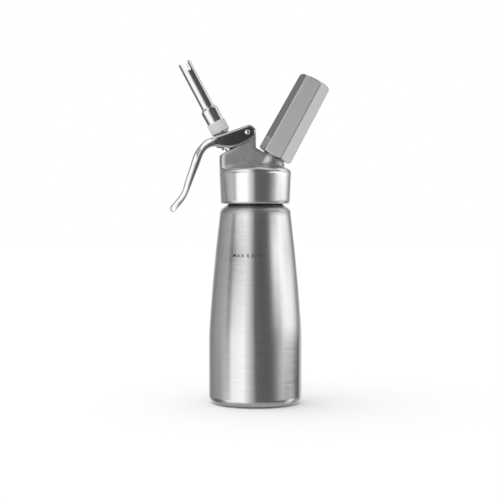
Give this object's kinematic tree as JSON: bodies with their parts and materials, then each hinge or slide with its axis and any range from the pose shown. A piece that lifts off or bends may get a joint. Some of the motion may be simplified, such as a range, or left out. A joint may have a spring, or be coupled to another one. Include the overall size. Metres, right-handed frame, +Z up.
{
  "type": "whipped cream dispenser",
  "caption": "Steel whipped cream dispenser: bottle with screwed-on head, press lever over a slanted valve stem, slotted nozzle and slanted gas charger holder.",
  "frame": {"origin": "centre of the bottle's flat foot", "axes": "+Z up; the lever and nozzle point to -X, the charger holder leans to +X, the front is -Y"},
  "size_m": [0.132, 0.0778, 0.2868],
  "materials": {
    "bottle_steel": "brushed round the bottle",
    "head_steel": "fine satin",
    "lever_polish": "polished",
    "tip_steel": "polished",
    "turned_steel": "turned bright",
    "holder_satin": "satin",
    "collar_white": "smooth white",
    "seal_rubber": "matt",
    "gasket_rubber": "matt silicone",
    "brass": "turned",
    "capsule_steel": "bright zinc"
  },
  "bodies": {
    "bottle_body": {"bottle": "bottle_steel", "neck_ring": "turned_steel"},
    "gasket_body": {"head_gasket": "gasket_rubber"},
    "head_body": {"head": "head_steel", "lever_pin": "turned_steel", "guide_bush": "brass", "valve_spring": "turned_steel", "piercing_pin": "turned_steel", "nipple_seal": "seal_rubber", "check_valve_plug": "brass", "check_valve_sleeve": "seal_rubber"},
    "lever_body": {"lever": "lever_polish"},
    "valve_body": {"valve_stem": "turned_steel", "stem_o_ring": "seal_rubber", "valve_seal": "seal_rubber", "valve_nut": "turned_steel", "tip_adapter": "turned_steel", "tip_o_ring": "seal_rubber"},
    "tip_body": {"nozzle_tip": "tip_steel"},
    "collar_body": {"nozzle_collar": "collar_white"},
    "charger_body": {"charger": "capsule_steel"},
    "holder_body": {"charger_holder": "holder_satin"}
  },
  "joints": [
    {"name": "head_lift", "type": "slide", "parent": "bottle_body", "child": "gasket_body", "axis": [0, 0, 1], "range_m": [0, 0.012]},
    {"name": "head_unscrew", "type": "hinge", "parent": "gasket_body", "child": "head_body", "pos_m": [0, 0, 0.187], "axis": [0, 0, 1], "range_deg": [0, 1081]},
    {"name": "lever_press", "type": "hinge", "parent": "head_body", "child": "lever_body", "pos_m": [-0.0067, 0, 0.2263], "axis": [0, -1, 0], "range_deg": [0, 6.6]},
    {"name": "valve_press", "type": "slide", "parent": "head_body", "child": "valve_body", "axis": [0.4679, 0, -0.8838], "range_m": [0, 0.00222], "stiffness_N_per_m": 1000, "springref_m": -0.003, "deforming": ["valve_spring"]},
    {"name": "tip_lift", "type": "slide", "parent": "valve_body", "child": "tip_body", "axis": [-0.4679, 0, 0.8838], "range_m": [0, 0.007]},
    {"name": "collar_unscrew", "type": "hinge", "parent": "tip_body", "child": "collar_body", "pos_m": [-0.02097, 0, 0.2119], "axis": [-0.4679, 0, 0.8838], "range_deg": [0, 1261]},
    {"name": "charger_lift", "type": "slide", "parent": "head_body", "child": "charger_body", "axis": [0.4802, 0, 0.8771], "range_m": [0, 0.009]},
    {"name": "holder_unscrew", "type": "hinge", "parent": "charger_body", "child": "holder_body", "pos_m": [0.0157, 0, 0.2066], "axis": [0.4802, 0, 0.8771], "range_deg": [0, 2161]}
  ],
  "couplings": [
    {"joint": "head_unscrew", "follows": "head_lift", "rad_per_m": 1570.8},
    {"joint": "lever_press", "follows": "valve_press", "rad_per_m": 51.68},
    {"joint": "collar_unscrew", "follows": "tip_lift", "rad_per_m": 3141.6},
    {"joint": "holder_unscrew", "follows": "charger_lift", "rad_per_m": 4188.8}
  ]
}
